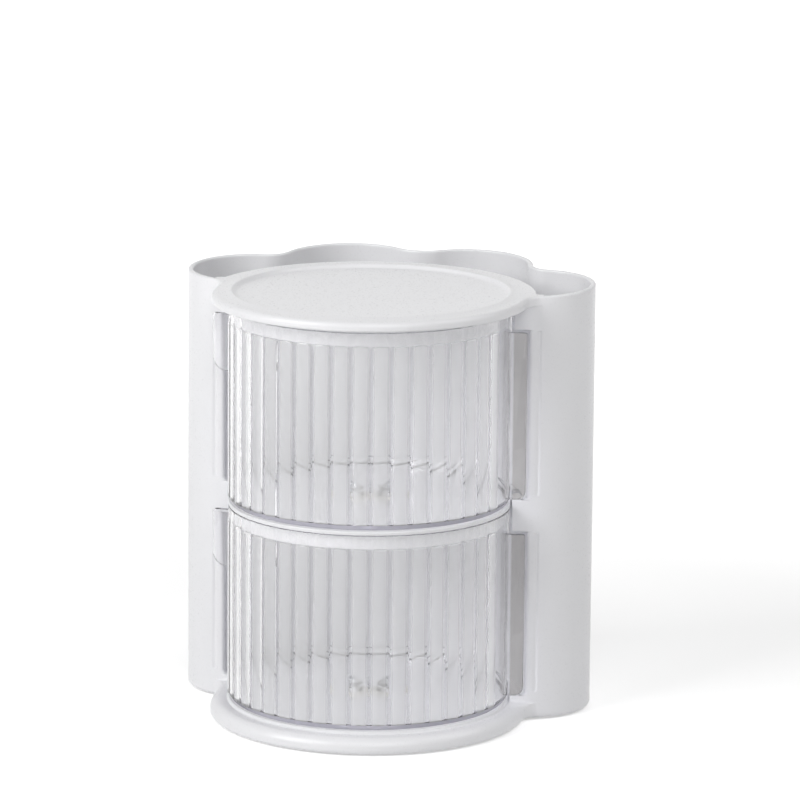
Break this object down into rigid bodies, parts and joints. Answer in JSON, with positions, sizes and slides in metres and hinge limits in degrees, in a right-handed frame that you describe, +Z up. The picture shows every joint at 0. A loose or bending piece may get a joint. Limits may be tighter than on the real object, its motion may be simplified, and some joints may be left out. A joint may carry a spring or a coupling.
{
  "type": "rotating desk organizer",
  "caption": "White desk organizer with clear fluted drums that swing open on a central pivot, a round tray on top and deep scalloped pen pockets around the back.",
  "frame": {"origin": "on the desk, under the centre of the whole outline", "axes": "+X to the right as seen from the front, +Y from the drums towards the pen pockets at the back, +Z up; the drums turn about a vertical axis at X 0"},
  "size_m": [0.183, 0.164, 0.1928],
  "materials": {
    "white_abs": "satin white moulded ABS",
    "clear_styrene": "clear moulded polystyrene",
    "nylon": "natural nylon",
    "screw_steel": "zinc plated",
    "foot_rubber": "matt grey"
  },
  "bodies": {
    "casing": {"outer_shell": "white_abs", "drum_housing": "white_abs", "base_plate": "white_abs", "mid_shelf": "white_abs", "top_plate": "white_abs", "lower_glide_washer": "nylon", "upper_glide_washer": "nylon", "lower_pivot_cap": "clear_styrene", "upper_pivot_cap": "clear_styrene", "lower_pivot_screw": "screw_steel", "upper_pivot_screw": "screw_steel", "base_screws": "screw_steel", "shelf_screws": "screw_steel", "foot_front": "foot_rubber", "foot_left": "foot_rubber", "foot_right": "foot_rubber", "foot_back_left": "foot_rubber", "foot_back_right": "foot_rubber"},
    "lower_drum": {"lower_drum": "clear_styrene"},
    "upper_drum": {"upper_drum": "clear_styrene"}
  },
  "joints": [
    {"name": "lower_drum_turn", "type": "hinge", "parent": "casing", "child": "lower_drum", "pos_m": [0, -0.01255, 0.0096], "axis": [0, 0, 1], "range_deg": [0, 190]},
    {"name": "upper_drum_turn", "type": "hinge", "parent": "casing", "child": "upper_drum", "pos_m": [0, -0.01255, 0.0977], "axis": [0, 0, 1], "range_deg": [0, 190]}
  ]
}
